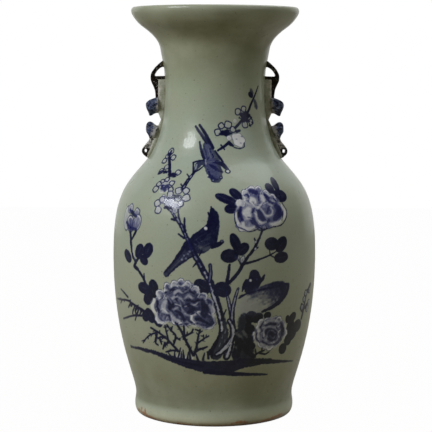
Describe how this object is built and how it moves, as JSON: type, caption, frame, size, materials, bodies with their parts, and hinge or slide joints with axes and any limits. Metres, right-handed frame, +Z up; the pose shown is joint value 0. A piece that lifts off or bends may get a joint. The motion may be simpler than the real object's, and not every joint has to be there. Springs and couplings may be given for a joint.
{
  "type": "baluster vase",
  "caption": "Tall glazed vase with a wide flared mouth, a waisted neck with an openwork cloud-head handle on each side, an ovoid body and a rounded foot.",
  "frame": {"origin": "middle of the resting face, on the turning axis", "axes": "+Z up along the turning axis, +X towards the right handle, -Y towards the painted front"},
  "size_m": [0.2902, 0.2902, 0.58],
  "materials": {
    "celadon_glaze": "glossy grey-green celadon glaze",
    "base_glaze": "thin celadon glaze over the recessed base",
    "pale_slip": "pale slip under clear glaze",
    "iron_brown_glaze": "glossy brown-black iron glaze",
    "cobalt_glaze": "glossy cobalt blue under clear glaze"
  },
  "bodies": {
    "root": {"foot_ring": "celadon_glaze", "base_disc": "base_glaze", "lower_body": "celadon_glaze", "shoulder": "celadon_glaze", "neck": "celadon_glaze", "mouth": "celadon_glaze", "left_handle_plate": "pale_slip", "left_handle_upper_loop": "iron_brown_glaze", "left_handle_upper_head": "cobalt_glaze", "left_handle_lower_head": "cobalt_glaze", "left_handle_lower_loop": "iron_brown_glaze", "right_handle_plate": "pale_slip", "right_handle_upper_loop": "iron_brown_glaze", "right_handle_upper_head": "cobalt_glaze", "right_handle_lower_head": "cobalt_glaze", "right_handle_lower_loop": "iron_brown_glaze"}
  },
  "joints": []
}
